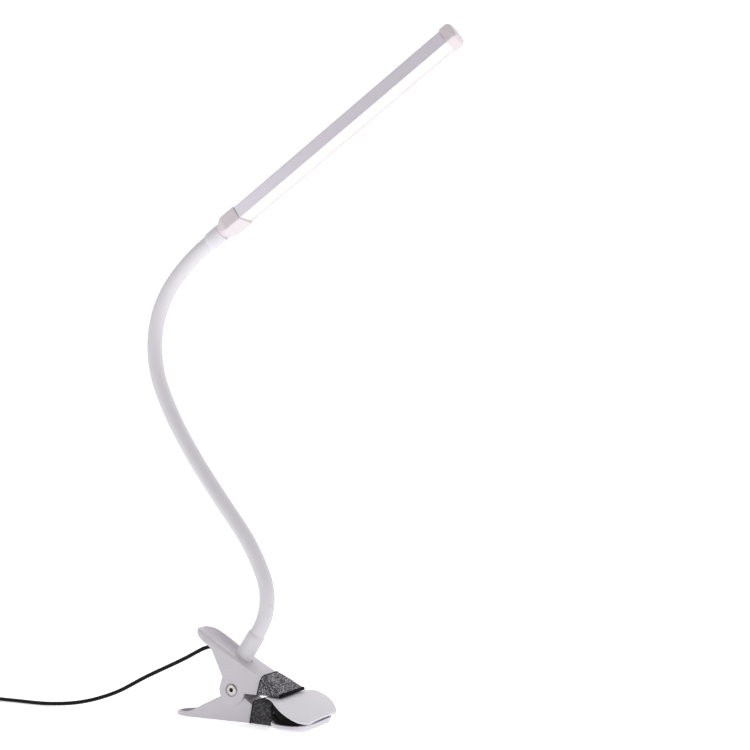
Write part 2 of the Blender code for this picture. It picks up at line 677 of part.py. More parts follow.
def head_ferrule():
    sides = 20
    rings = cup_rings(HEAD_AT, ALONG, sides)
    for t, radius in ((2.2, 5.25), (3.6, 5.9), (4.8, 6.2), (13.7, 6.2), (13.7, 4.0), (19.0, 4.0)):
        rings.append(ring_at(HEAD_AT + ALONG * t * MM, ALONG, radius * MM, sides))
    add_object("head_ferrule", loft(rings), HOSE_WHITE, "head_joint")


def end_caps():
    tenon = [(40.0, 13.2, 2.9, 0.5), (33.8, 13.2, 2.9, 0.5)]
    block = [(33.8, CAP_WIDTH, CAP_HEIGHT, 0.9), (21.4, CAP_WIDTH, CAP_HEIGHT, 1.2), (14.0, 11.6, 9.2, 4.4)]
    rings = head_rings(tenon + block)
    lower = add_object("lower_end_cap", loft(rings), CAP_WHITE, "head_joint", 25.0)
    cut(lower, turned([(4.3 * MM, 12 * MM), (4.3 * MM, 19.3 * MM)], HEAD_AT, ALONG, 20), "cap_socket")
    tenon = [(207.0, 13.2, 2.9, 0.5), (213.3, 13.2, 2.9, 0.5)]
    block = [(213.3, CAP_WIDTH, CAP_HEIGHT, 0.9), (219.2, CAP_WIDTH, CAP_HEIGHT, 1.2), (221.0, 14.0, 8.6, 1.6)]
    add_object("upper_end_cap", loft(head_rings(tenon + block)), CAP_WHITE, "head_joint", 25.0)


def bar_profile():
    half, low, high, wall = BAR_WIDTH / 2, -BAR_HEIGHT / 2, BAR_HEIGHT / 2, 1.0
    outline = [(-half, high), *arc((-half + 0.8, low + 0.8), 0.8, 180, 270, 3)]
    outline += [*arc((half - 0.8, low + 0.8), 0.8, 270, 360, 3), (half, high)]
    inner = half - wall
    outline += [(inner, high), (inner, low + 1.2), (-inner, low + 1.2), (-inner, high)]
    bm = prism(outline, BAR_START, BAR_END, lambda a, b, t: head(t, a, b))
    add_object("bar_profile", bm, ALUMINIUM, "head_joint")


def led_board():
    """The board, with one raised chip per LED along its middle."""
    count, chip = 18, 3.5
    start, end = 42.0, 205.0
    low, high, top = -3.2, -2.2, -1.6
    pitch = (end - start - 8.0) / (count - 1)
    lines = [start]
    for k in range(count):
        middle = start + 4.0 + pitch * k
        lines += [middle - chip / 2, middle + chip / 2]
    lines.append(end)
    bm = bmesh.new()
    columns = (-6.0, -1.4, 1.4, 6.0)
    grid = [[bm.verts.new(head(t, y, high)) for y in columns] for t in lines]
    chips = []
    for i in range(len(lines) - 1):
        for j in range(len(columns) - 1):
            face = bm.faces.new((grid[i][j], grid[i + 1][j], grid[i + 1][j + 1], grid[i][j + 1]))
            if i % 2 == 1 and j == 1:
                chips.append(face)
    edge = bmesh.ops.extrude_edge_only(bm, edges=[e for e in bm.edges if e.is_boundary])
    lowered = [g for g in edge["geom"] if isinstance(g, bmesh.types.BMVert)]
    bmesh.ops.translate(bm, verts=lowered, vec=SHINE * (low - high) * MM)
    bmesh.ops.contextual_create(bm, geom=[e for e in bm.edges if e.is_boundary])
    for face in bmesh.ops.extrude_discrete_faces(bm, faces=chips)["faces"]:
        bmesh.ops.translate(bm, verts=face.verts, vec=SHINE * (top - high) * MM)
    bmesh.ops.remove_doubles(bm, verts=bm.verts, dist=1e-7)
    add_object("led_board", bm, BOARD, "head_joint")


def diffuser():
    outline = rounded_rectangle(13.4, 1.5, 0.3, 2)
    bm = prism(outline, BAR_START + 0.3, BAR_END - 0.1, lambda a, b, t: head(t, a, b + 3.15))
    add_object("diffuser", bm, DIFFUSER, "head_joint")


# ---- lead, controller and plug ------------------------------------------------------------
def cord_gland():
    axis = Vector((-1.0, 0, -TOP_SLOPE)).normalized()
    profile = [(2.6 * MM, 0), (2.6 * MM, 5.4 * MM), (2.0 * MM, 6.7 * MM)]
    add_object("cord_gland", turned(profile, clamp(-9.6, 19.6), axis), LEAD_BLACK)


def leads():
    step = 7.0 * MM
    lead("cord_lamp_to_controller", smooth_curve([clamp(x, z, y) for x, y, z in LEAD_ROUTE], step))
    lead("cord_controller_to_coil", smooth_curve([clamp(x, z, y) for x, y, z in LEAD_TO_COIL], step))
    lead("cord_coil_to_plug", smooth_curve([clamp(x, z, y) for x, y, z in COIL_TO_PLUG], step))
    half, height = COIL_BUNDLE[0] / 2, COIL_BUNDLE[1]
    section = [
        (COIL_MEAN - half, 1.0), (COIL_MEAN - half + 1.5, 0.0), (COIL_MEAN + half - 1.5, 0.0),
        (COIL_MEAN + half, 1.0), (COIL_MEAN + half, height - 1.5), (COIL_MEAN + half - 2.0, height),
        (COIL_MEAN - half + 2.0, height), (COIL_MEAN - half, height - 1.5),
    ]
    at = clamp(COIL_CENTRE[0], COIL_BOTTOM, COIL_CENTRE[1])
    ring = turned([(r * MM, h * MM) for r, h in section], at, Vector((0, 0, 1)), 32, hollow=True)
    add_object("cord_coil", ring, LEAD_BLACK)


def cord_tie():
    """A narrow strap round the coil's bundle, on the side away from the lamp."""
    x = COIL_CENTRE[0] - COIL_MEAN
    half, top = COIL_BUNDLE[0] / 2, COIL_BOTTOM + COIL_BUNDLE[1]
    y = (COIL_CENTRE[1] - 2.5, COIL_CENTRE[1] + 2.5)
    obj = add_object("cord_tie", clamp_box((x - half - 1.0, x + half + 1.0), y, (-21.95, top + 0.9)), LEAD_BLACK)
    inner = clamp_box((x - half - 0.35, x + half + 0.7), (y[0] - 2, y[1] + 2), (COIL_BOTTOM - 0.3, top + 0.3))
    cut(obj, inner, "tie_loop")


def plan_prism(width, corner, centre, half_length, z_low, z_high, steps=3):
    outline = rounded_rectangle(2 * half_length, width, corner, steps)
    return prism(outline, z_low, z_high, lambda a, b, z: clamp(centre[0] + a, z, centre[1] + b))


def shell_block(centre, half_length, edge):
    """A rounded block whose outline is drawn in by the first number of each (inset, z) pair."""
    rings = []
    for inset, z in edge:
        outline = rounded_rectangle(2 * (half_length - inset), 2 * (CONTROLLER_HALF - inset), 2.6 - 0.5 * inset, 4)
        rings.append([clamp(centre[0] + x, z, centre[1] + y) for x, y in outline])
    return loft(rings)


def controller():
    x0, x1 = CONTROLLER_X
    middle = ((x0 + x1) / 2, CORD_Y)
    half_length, width = (x1 - x0) / 2, 2 * CONTROLLER_HALF
    low, high = CONTROLLER_Z
    part_line, skin, wall, recess = CABLE_Z, 1.5, 1.5, 0.4

    edge = [(0.0, part_line + 0.15), (0.0, high - 2.0), (0.3, high - 1.1), (0.9, high - 0.4), (1.9, high)]
    top = add_object("controller_top_shell", shell_block(middle, half_length, edge), CHARCOAL)
    inner = plan_prism(width - 2 * wall, 1.0, middle, half_length - wall, part_line - 2, high - skin - recess)
    cut(top, inner, "top_shell_hollow")
    cut(top, plan_prism(12.0, 0.6, middle, 26.0, high - recess, high + 2), "label_recess")

    edge = [(1.4, low), (0.6, low + 0.3), (0.2, low + 0.8), (0.0, low + 1.5), (0.0, part_line - 0.15)]
    base = add_object("controller_bottom_shell", shell_block(middle, half_length, edge), CHARCOAL)
    inner = plan_prism(width - 2 * wall, 1.0, middle, half_length - wall, low + skin, part_line + 2)
    cut(base, inner, "bottom_shell_hollow")

    lead_axis = Vector((1, 0, 0))
    entry = clamp(x0, CABLE_Z, CORD_Y)
    for side, x in (("plug", x0), ("lamp", x1)):
        hole = [(2.1 * MM, -4 * MM), (2.1 * MM, 4 * MM)]
        at = Vector((clamp(x, 0).x, entry.y, entry.z))
        cut(top, turned(hole, at, lead_axis, SIDES), f"top_entry_{side}")
        cut(base, turned(hole, at, lead_axis, SIDES), f"bottom_entry_{side}")
        relief(f"relief_{side}_side", at, lead_axis if side == "lamp" else -lead_axis)

    board(middle, half_length)
    for k in range(4):
        x = middle[0] + 1.4 + (1.5 - k) * BUTTON_PITCH
        push_button(f"button_{k + 1}", x, high, recess, skin, top)


def relief(name, at, outwards):
    """A ribbed strain relief: a neck inside the shell, a collar and three ribs down to the lead."""
    profile = [(1.8, -1.2), (1.8, 0.3), (2.5, 0.3), (2.5, 1.5), (1.9, 1.6), (1.9, 2.6), (2.4, 2.7), (2.4, 4.0)]
    profile += [(1.8, 4.1), (1.8, 5.1), (2.3, 5.2), (2.3, 6.4), (1.7, 6.5), (1.7, 7.5), (2.1, 7.6), (2.1, 8.8)]
    profile += [(1.7, 9.0), (1.6, 11.4)]
    add_object(name, turned([(r * MM, t * MM) for r, t in profile], at, outwards), LEAD_BLACK)


def board(middle, half_length):
    low, high, switch_top = -18.6, -17.4, -15.0
    length = half_length - 4.6
    obj = add_object("controller_board", plan_prism(15.0, 0.5, middle, length, low, high, 1), BOARD)
    for k in range(4):
        x = middle[0] + 1.4 + (1.5 - k) * BUTTON_PITCH
        switch = clamp_box((x - 2.0, x + 2.0), (CORD_Y - 2.0, CORD_Y + 2.0), (low + 0.5, switch_top))
        cut(obj, switch, f"switch_{k + 1}", "UNION")


def push_button(name, x, high, recess, skin, shell):
    body(f"{name}_slide", clamp(x, high, CORD_Y), "upper_arm_body")
    under = high - recess - skin
    profile = [
        (3.6, under - 1.1), (3.6, under - 0.3), (BUTTON_RADIUS, under - 0.3), (BUTTON_RADIUS, high + 0.1),
        (BUTTON_RADIUS - 0.25, high + 0.35), (BUTTON_RADIUS - 0.9, high + 0.45), (0, high + 0.5),
    ]
    at = clamp(x, 0, CORD_Y)
    bm = turned([(r * MM, z * MM) for r, z in profile], at, Vector((0, 0, 1)), 20)
    add_object(name, bm, BUTTON_WHITE, f"{name}_slide")
    hole = [((BUTTON_RADIUS + 0.3) * MM, (under - 2) * MM), ((BUTTON_RADIUS + 0.3) * MM, (high + 2) * MM)]
    cut(shell, turned(hole, at, Vector((0, 0, 1)), 20), f"{name}_hole")


def usb_plug():
    """Overmoulded type-A plug, pointing back towards the lamp."""
    z = -18.2

    def section(x, w, h, c):
        return [clamp(x, z + b, PLUG_Y + a) for a, b in rounded_rectangle(w, h, c)]

    relief_ring = [section(-305.0, 3.6, 3.6, 1.8), section(-297.0, 4.6, 4.6, 2.3), section(-296.0, 9.0, 6.0, 1.5)]
    grip = [section(-294.0, 14.0, 7.0, 1.5), section(-276.0, 14.0, 7.0, 1.5), section(-275.4, 13.0, 6.2, 1.2)]
    add_object("usb_overmould", loft(relief_ring + grip), LEAD_BLACK)
    shell = add_object("usb_shell", loft([section(-275.1, 12.0, 4.5, 0.4), section(-263.2, 12.0, 4.5, 0.4)]), STEEL)
    mouth = [section(-274.5, 11.3, 3.8, 0.2), section(-262.0, 11.3, 3.8, 0.2)]
    cut(shell, loft(mouth), "usb_mouth")
    tongue = clamp_box((-274.2, -264.2), (PLUG_Y - 5.3, PLUG_Y + 5.3), (z - 1.55, z + 0.1))
    add_object("usb_tongue", tongue, BUTTON_WHITE)


def build():
    upper_arm()
    lower_arm()
    upper_jaw()
    lower_jaw()
    sleeves()
    pivot_parts()
    torsion_spring()
    hose_base()
    for number in range(1, len(LINK_TURNS) + 1):
        link(number)
    head_ferrule()
    end_caps()
    bar_profile()
    led_board()
    diffuser()
    cord_gland()
    leads()
    cord_tie()
    controller()
    usb_plug()


build()
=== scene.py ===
"""Clip-on reading lamp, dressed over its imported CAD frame. Metres, +Z up, +X the way the jaws point."""
import json
import math

import bmesh
import bpy
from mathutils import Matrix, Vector


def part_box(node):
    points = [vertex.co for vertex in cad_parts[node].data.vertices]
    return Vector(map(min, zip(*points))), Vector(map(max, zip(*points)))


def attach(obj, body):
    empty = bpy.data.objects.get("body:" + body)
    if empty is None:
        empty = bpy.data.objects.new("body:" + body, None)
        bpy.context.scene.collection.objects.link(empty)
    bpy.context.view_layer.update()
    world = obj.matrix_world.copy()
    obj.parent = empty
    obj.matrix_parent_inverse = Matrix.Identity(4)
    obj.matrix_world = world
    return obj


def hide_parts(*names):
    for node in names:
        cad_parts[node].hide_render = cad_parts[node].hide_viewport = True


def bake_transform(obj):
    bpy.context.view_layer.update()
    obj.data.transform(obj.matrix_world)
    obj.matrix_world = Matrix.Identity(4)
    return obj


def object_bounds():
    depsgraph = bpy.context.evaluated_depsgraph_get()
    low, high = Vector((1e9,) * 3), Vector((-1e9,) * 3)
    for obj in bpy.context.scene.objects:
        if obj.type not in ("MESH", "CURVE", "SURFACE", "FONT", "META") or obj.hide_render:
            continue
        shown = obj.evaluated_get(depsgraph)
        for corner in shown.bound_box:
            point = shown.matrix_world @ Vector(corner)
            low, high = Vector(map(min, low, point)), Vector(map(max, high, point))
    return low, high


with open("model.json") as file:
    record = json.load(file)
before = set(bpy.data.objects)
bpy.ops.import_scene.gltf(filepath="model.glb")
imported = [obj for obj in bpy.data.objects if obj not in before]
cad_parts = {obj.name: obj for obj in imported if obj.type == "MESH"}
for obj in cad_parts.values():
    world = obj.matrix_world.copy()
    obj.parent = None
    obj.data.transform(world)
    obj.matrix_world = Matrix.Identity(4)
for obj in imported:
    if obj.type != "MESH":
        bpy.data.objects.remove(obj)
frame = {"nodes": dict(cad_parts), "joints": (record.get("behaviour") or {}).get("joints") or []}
cad_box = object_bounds()
NODES = frame["nodes"]
JOINT_AT = {joint["name"]: Vector(joint["pos_m"]) for joint in frame["joints"]}
MM = 0.001
PIVOT = JOINT_AT["clamp_pivot"]
CORD_RADIUS = 1.4 * MM


def clamp(x, z, y=0.0):
    """A point given in mm from the clamp's pivot, as a place in the frame."""
    return PIVOT + Vector((x, y, z)) * MM


def corners(node):
    """A node's lowest and highest corners at rest."""
    low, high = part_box(node)
    return Vector(low), Vector(high)


def add_object(name, data):
    obj = bpy.data.objects.new(name, data)
    bpy.context.scene.collection.objects.link(obj)
    return obj


# ---- camera -------------------------------------------------------------------------------
YAW = math.radians(25.2)  # the camera looks level, turned this far from +Y towards -X
CAMERA_AT = clamp(424.3, 149.6, -683.4)
FOCAL_LENGTH = 55.68
SHIFT_UP = 0.1267

camera_data = bpy.data.cameras.new("camera")
camera_data.lens = FOCAL_LENGTH
camera_data.sensor_width = 36.0
camera_data.shift_y = SHIFT_UP
camera_data.clip_start = 0.01
camera = add_object("camera", camera_data)
camera.location = CAMERA_AT
camera.rotation_euler = (math.radians(90.0), 0.0, YAW)
bpy.context.scene.camera = camera


# ---- materials ----------------------------------------------------------------------------
class Nodes:
    """A short way to write a material's node tree."""

    def __init__(self, name):
        self.material = bpy.data.materials.new(name)
        self.material.use_nodes = True
        self.tree = self.material.node_tree
        self.shader = self.tree.nodes["Principled BSDF"]
        self.position = None

    def add(self, kind, **values):
        node = self.tree.nodes.new(kind)
        for key, value in values.items():
            if key in node.inputs:
                node.inputs[key].default_value = value
            else:
                setattr(node, key, value)
        return node

    def link(self, source, target):
        self.tree.links.new(source, target)

    def place(self):
        """The point on the object, in metres, which every pattern is laid out by."""
        if self.position is None:
            self.position = self.add("ShaderNodeTexCoord").outputs["Object"]
        return self.position

    def noise(self, scale, detail=3.0, roughness=0.5, distortion=0.0):
        node = self.add("ShaderNodeTexNoise", Scale=scale, Detail=detail, Roughness=roughness)
        node.inputs["Distortion"].default_value = distortion
        self.link(self.place(), node.inputs["Vector"])
        return node.outputs["Fac"]

    def stretched(self, scale):
        """The point with each axis scaled, for a pattern that isn't the same in all directions."""
        node = self.add("ShaderNodeMapping")
        node.inputs["Scale"].default_value = scale
        self.link(self.place(), node.inputs["Vector"])
        return node.outputs["Vector"]

    def ramp(self, factor, stops):
        """Colours or greys at their shares of the factor."""
        node = self.add("ShaderNodeValToRGB")
        elements = node.color_ramp.elements
        while len(elements) < len(stops):
            elements.new(0.5)
        for element, (at, value) in zip(elements, stops):
            element.position = at
            element.color = (*value, 1.0) if isinstance(value, tuple) else (value, value, value, 1.0)
        self.link(factor, node.inputs["Fac"])
        return node.outputs["Color"]

    def remap(self, factor, low, high):
        node = self.add("ShaderNodeMapRange")
        node.inputs["To Min"].default_value = low
        node.inputs["To Max"].default_value = high
        self.link(factor, node.inputs["Value"])
        return node.outputs["Result"]

    def bump(self, height, strength, distance, normal=None):
        node = self.add("ShaderNodeBump", Strength=strength, Distance=distance)
        self.link(height, node.inputs["Height"])
        if normal is not None:
            self.link(normal, node.inputs["Normal"])
        return node.outputs["Normal"]

    def set(self, **values):
        """Links an output or puts a value to each named socket of the shader."""
        for key, value in values.items():
            socket = self.shader.inputs[key.replace("_", " ")]
            if hasattr(value, "links"):
                self.link(value, socket)
            else:
                socket.default_value = value


FINE = 0.2 * MM  # the depth that fine grain is bumped by


def moulded_plastic(name, pale, deep, roughness, grain=2600.0, strength=0.05):
    """Moulded plastic: faint cloudiness in the colour, a fine spark-eroded grain and uneven gloss."""
    mat = Nodes(name)
    cloud = mat.noise(38.0, 4.0, 0.6)
    mat.set(Base_Color=mat.ramp(cloud, ((0.3, deep), (0.7, pale))))
    smear = mat.noise(95.0, 5.0, 0.65, 0.6)
    mat.set(Roughness=mat.remap(smear, roughness - 0.07, roughness + 0.09))
    fine = mat.bump(mat.noise(grain, 2.0, 0.6), strength, FINE)
    mat.set(Normal=mat.bump(mat.noise(60.0, 2.0), 0.05, 3 * FINE, fine), IOR=1.48)
    return mat.material


def rubber(name, pale, deep, roughness, grain=3200.0, strength=0.12, specular=0.18):
    """Dull rubber, foam or print: patchy colour and gloss over a fine grain."""
    mat = Nodes(name)
    mat.set(Base_Color=mat.ramp(mat.noise(120.0, 4.0, 0.6), ((0.3, deep), (0.75, pale))))
    mat.set(Roughness=mat.remap(mat.noise(240.0, 4.0), roughness - 0.08, roughness + 0.08))
    mat.set(Normal=mat.bump(mat.noise(grain, 2.0), strength, FINE))
    mat.set(Specular_IOR_Level=specular, IOR=1.45)
    return mat.material


# share of the yarns up to each colour, darkest first
YARNS = (
    (0.0, (0.010, 0.009, 0.011)), (0.42, (0.032, 0.030, 0.036)), (0.60, (0.145, 0.135, 0.155)),
    (0.80, (0.34, 0.32, 0.355)), (0.93, (0.60, 0.57, 0.62)),
)


STITCHES_PER_METRE = 1450.0
STITCH_SHAPE = (1.0, 0.62, 1.35)  # the pattern's scale per axis: stitches are long across, short upwards


def tweed(name, tone):
    """Close knit of black and pale grey yarns: light flecks over dark loops. tone scales the colour; a low
    tone gives a copy darkened as painted shade.
    """
    mat = Nodes(name)
    cells = mat.add("ShaderNodeTexVoronoi", Scale=STITCHES_PER_METRE, Randomness=0.85)
    mat.link(mat.stretched(STITCH_SHAPE), cells.inputs["Vector"])
    separate = mat.add("ShaderNodeSeparateColor")
    mat.link(cells.outputs["Color"], separate.inputs["Color"])
    toned = [(at, tuple(tone * v for v in colour)) for at, colour in YARNS]
    yarn = mat.ramp(separate.outputs["Red"], toned)
    cloud = mat.ramp(mat.noise(210.0, 3.0, 0.7), ((0.36, 0.55), (0.66, 1.0)))
    blend = mat.add("ShaderNodeMix", data_type="RGBA", blend_type="MULTIPLY")
    blend.inputs["Factor"].default_value = 1.0
    mat.link(yarn, blend.inputs[6])
    mat.link(cloud, blend.inputs[7])
    mat.set(Base_Color=blend.outputs[2])
    loops = mat.bump(cells.outputs["Distance"], 0.7, 3 * FINE)
    mat.set(Normal=mat.bump(mat.noise(3800.0, 2.0), 0.25, FINE, loops))
    mat.set(Roughness=0.92, Sheen_Weight=0.25, Sheen_Roughness=0.5)
    return mat.material


def metal(name, pale, deep, roughness, grain=(1.0, 40.0, 1.0), scale=420.0, metallic=1.0):
    """Metal with fine drawn lines along one direction."""
    mat = Nodes(name)
    lines = mat.add("ShaderNodeTexNoise", Scale=scale, Detail=3.0)
    mat.link(mat.stretched(grain), lines.inputs["Vector"])
    mat.set(Base_Color=mat.ramp(lines.outputs["Fac"], ((0.3, deep), (0.7, pale))))
    mat.set(Roughness=mat.remap(lines.outputs["Fac"], roughness - 0.06, roughness + 0.08))
    mat.set(Normal=mat.bump(lines.outputs["Fac"], 0.04, FINE), Metallic=metallic)
    return mat.material


def lit_diffuser(name):
    """Frosted strip lit from behind: faint mottling in its warm white."""
    mat = Nodes(name)
    mottle = mat.noise(70.0, 2.0)
    mat.set(Base_Color=mat.ramp(mottle, ((0.3, (0.30, 0.29, 0.27)), (0.7, (0.33, 0.32, 0.30)))))
    mat.set(Emission_Color=mat.ramp(mottle, ((0.3, (1.0, 0.985, 0.92)), (0.7, (1.0, 0.995, 0.95)))))
    mat.set(Emission_Strength=0.66, Roughness=0.5, Specular_IOR_Level=0.2)
    return mat.material


WHITE = moulded_plastic("white_plastic", (0.690, 0.658, 0.711), (0.660, 0.628, 0.681), 0.42)
JAW = moulded_plastic("jaw_plastic", (0.800, 0.775, 0.830), (0.770, 0.745, 0.800), 0.38, 2600.0, 0.04)
HOSE = moulded_plastic("white_hose", (0.785, 0.762, 0.810), (0.760, 0.736, 0.784), 0.50, 1800.0, 0.08)
CAP = moulded_plastic("cap_plastic", (0.775, 0.705, 0.738), (0.745, 0.677, 0.710), 0.45)
CHARCOAL = moulded_plastic("charcoal_plastic", (0.07, 0.064, 0.068), (0.052, 0.047, 0.05), 0.55, 2200.0, 0.5)
BUTTON = moulded_plastic("button_plastic", (0.86, 0.86, 0.86), (0.82, 0.82, 0.82), 0.40, 3000.0, 0.04)
GLYPH = rubber("button_print", (0.12, 0.12, 0.12), (0.08, 0.08, 0.08), 0.6)
LEAD = rubber("lead_rubber", (0.007, 0.007, 0.008), (0.003, 0.003, 0.004), 0.50, 2600.0, 0.10)
FOAM = rubber("black_foam", (0.006, 0.0055, 0.005), (0.003, 0.0028, 0.0025), 0.95, 1700.0, 0.5)
BINDING = rubber("binding_tape", (0.008, 0.008, 0.009), (0.004, 0.004, 0.005), 0.95, 2400.0, 0.6)
TWEED = tweed("tweed", 1.1)
# painted shade: the same knit at about a third of the brightness, standing in for the shade the lower sleeve
# sits in
TWEED_PAINTED_SHADE = tweed("tweed_painted_shade", 0.36)
STEEL = metal("steel", (0.64, 0.61, 0.58), (0.50, 0.47, 0.45), 0.28)
ALUMINIUM = metal(
    "satin_aluminium", (0.94, 0.89, 0.98), (0.87, 0.82, 0.91), 0.40,
    grain=(0.6, 14.0, 14.0), scale=520.0, metallic=0.35,
)
BOARD = moulded_plastic("circuit_board", (0.80, 0.81, 0.79), (0.74, 0.75, 0.73), 0.5, 900.0, 0.2)
DIFFUSER = lit_diffuser("diffuser")

FINISH = {
    WHITE: ("upper_arm", "lower_arm"),
    JAW: ("upper_jaw_plate", "lower_jaw_plate"),
    HOSE: ("hose_base_ferrule",),
    CAP: ("lower_end_cap", "upper_end_cap"),
    CHARCOAL: ("controller_top_shell", "controller_bottom_shell"),
    BUTTON: ("button_1", "button_2", "button_3", "button_4", "usb_tongue"),
    LEAD: ("cord_gland", "relief_lamp_side", "relief_plug_side", "cord_tie", "usb_overmould"),
    STEEL: ("clamp_rivet", "rivet_washer", "hose_lock_nut", "usb_shell"),
    ALUMINIUM: ("bar_profile",),
    BOARD: ("led_board", "controller_board"),
    DIFFUSER: ("diffuser",),
}
for finish, names in FINISH.items():
    for name in names:
        NODES[name].data.materials.clear()
        NODES[name].data.materials.append(finish)


# ---- piece tools --------------------------------------------------------------------------
def piece(name, bm, mat, owner=None, smooth=35.0):
    """A new piece from a bmesh, its faces outwards and its edges sharp above the angle smooth, in degrees."""
    bmesh.ops.recalc_face_normals(bm, faces=bm.faces)
    if bm.calc_volume(signed=True) < 0:
        bmesh.ops.reverse_faces(bm, faces=bm.faces)
    mesh = bpy.data.meshes.new(name)
    bm.to_mesh(mesh)
    bm.free()
    mesh.materials.append(mat)
    mesh.shade_smooth()
    mesh.set_sharp_from_angle(angle=math.radians(smooth))
    obj = add_object(name, mesh)
    if owner:
        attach(obj, owner)
    return obj


def loft(rings, closed_loop=False):
    """A skin over the rings, with its ends closed, or with the last ring joined to the first."""
    bm = bmesh.new()
    rows = [[bm.verts.new(p) for p in ring] for ring in rings]
    pairs = list(zip(rows, rows[1:]))
    if closed_loop:
        pairs.append((rows[-1], rows[0]))
    for low, high in pairs:
        for k in range(len(low)):
            j = (k + 1) % len(low)
            bm.faces.new((low[k], low[j], high[j], high[k]))
    if not closed_loop:
        bm.faces.new(rows[0])
        bm.faces.new(rows[-1])
    return bm


def smooth_curve(points, step):
    """A Catmull-Rom curve through the points, with a point about every step."""
    ends = [2 * points[0] - points[1], *points, 2 * points[-1] - points[-2]]
    curve = []
    for a, b, c, d in zip(ends, ends[1:], ends[2:], ends[3:]):
        count = max(1, round((c - b).length / step))
        for k in range(count):
            t = k / count
            square, cube = 2 * a - 5 * b + 4 * c - d, 3 * b - a - 3 * c + d
            curve.append(0.5 * ((2 * b) + (c - a) * t + square * t**2 + cube * t**3))
    return [*curve, points[-1]]


def lead(name, points):
    """A round lead along the points."""
    curve = bpy.data.curves.new(name, "CURVE")
    curve.dimensions = "3D"
    curve.bevel_depth = CORD_RADIUS
    curve.bevel_resolution = 4
    curve.use_fill_caps = True
    curve.materials.append(LEAD)
    spline = curve.splines.new("POLY")
    spline.points.add(len(points) - 1)
    for target, point in zip(spline.points, points):
        target.co = (*point, 1.0)
    spline.use_smooth = True
    obj = add_object(name, curve)
    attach(obj, "clamp_body")
    return obj


def line_length(points):
    return sum((b - a).length for a, b in zip(points, points[1:]))


def ring(at, side, up, radius, sides):
    turns = [2 * math.pi * k / sides for k in range(sides)]
    return [at + (side * math.cos(a) + up * math.sin(a)) * radius for a in turns]


def tube(points, radius, sides):
    """A closed tube along the points, its rings carried along without twisting."""
    directions = []
    for k in range(len(points)):
        a, b = points[max(k - 1, 0)], points[min(k + 1, len(points) - 1)]
        directions.append((b - a).normalized())
    side = directions[0].orthogonal().normalized()
    rings = []
    for at, direction in zip(points, directions):
        side = (side - direction * side.dot(direction)).normalized()
        rings.append(ring(at, side, direction.cross(side), radius, sides))
    return loft(rings)


# ---- gooseneck: one hose in nine lengths, each bending across one joint --------------------
HOSE_JOINTS = ["hose_bend_1", "hose_swing_2", "hose_bend_3", "hose_swing_4", "hose_bend_5"]
HOSE_JOINTS += ["hose_swing_6", "hose_bend_7", "hose_swing_8", "head_tilt"]
LINKS = 8
HOSE_RADIUS = 5.3 * MM
HOSE_FOOT = clamp(2.75, 20.8)
HOSE_SIDES = 28
HOSE_STEP = 1.4 * MM
HOSE_TUCK = 3.0 * MM  # how far each end of the hose goes over its ferrule's neck


def angle_of(vector):
    return math.atan2(vector.z, vector.x)


def heading(angle):
    return Vector((math.cos(angle), 0.0, math.sin(angle)))


def arc_between(a, b, start):
    """The arc from a to b that leaves a at the angle start: its point at a share, end angle and length."""
    turn = 2 * (angle_of(b - a) - start)
    turn = (turn + math.pi) % (2 * math.pi) - math.pi
    chord = (b - a).length
    radius = chord / (2 * math.sin(turn / 2))

    def at(share):
        now = start + turn * share
        shift = Vector((math.sin(now) - math.sin(start), 0.0, math.cos(start) - math.cos(now)))
        return a + shift * radius

    return at, start + turn, abs(radius * turn)


def gooseneck():
    """Each length of hose runs from the middle of one link, over the joint, to the middle of the next."""
    joints = [JOINT_AT[name] for name in HOSE_JOINTS]
    angles = [angle_of(joints[0] - HOSE_FOOT)]
    arcs = []
    for a, b in zip(joints, joints[1:]):
        at, after, length = arc_between(a, b, angles[-1])
        arcs.append((at, length))
        angles.append(after)
    for k, (joint, angle) in enumerate(zip(joints, angles)):
        ahead = heading(angle)
        points = []
        if k == 0:
            points += [joint - ahead * HOSE_TUCK * share for share in (1.0, 0.5)]
        else:
            at, length = arcs[k - 1]
            count = round(0.5 * length / HOSE_STEP)
            points += [at(0.5 + 0.5 * j / count) for j in range(count)]
        points.append(joint)
        if k == len(joints) - 1:
            points += [joint + ahead * HOSE_TUCK * share for share in (0.5, 1.0)]
        else:
            at, length = arcs[k]
            count = round(0.5 * length / HOSE_STEP)
            points += [at(0.5 * j / count) for j in range(1, count + 1)]
        after = f"hose_{k + 1}" if k < len(joints) - 1 else "head"
        hose = piece(f"hose_length_{k + 1}", tube(points, HOSE_RADIUS, HOSE_SIDES), HOSE)
        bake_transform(hose)
        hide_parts(*[f"gooseneck_{j}" for j in (k, k + 1) if 1 <= j <= LINKS])


gooseneck()


# the head's ferrule: along its axis from the joint, then radius, in mm; it ends as a skirt inside the end cap
COLLAR = ((2.2, 5.25), (3.4, 5.85), (4.6, 6.15), (5.2, 6.2), (14.4, 6.2), (14.4, 4.0), (19.0, 4.0))


def head_collar():
    joint = JOINT_AT["head_tilt"]
    low, high = corners("upper_end_cap")
    along = (low + high) / 2 - joint
    along.y = 0.0
    along.normalize()
    across = Vector((0.0, 1.0, 0.0))
    up = along.cross(across)
    rings = [ring(joint + along * t * MM, across, up, radius * MM, 40) for t, radius in COLLAR]
    collar = piece("head_collar", loft(rings), HOSE, "head")
    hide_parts("head_ferrule")


head_collar()


# ---- clamp: torsion spring -----------------------------------------------------------------
WIRE_RADIUS = 0.75 * MM
SPRING_RADIUS = 4.6  # to the middle of the wire, in mm
SPRING_HALF = 4.9  # half the length of the winding, in mm
SPRING_TURNS = 4.5
SPRING_START = math.radians(150.0)


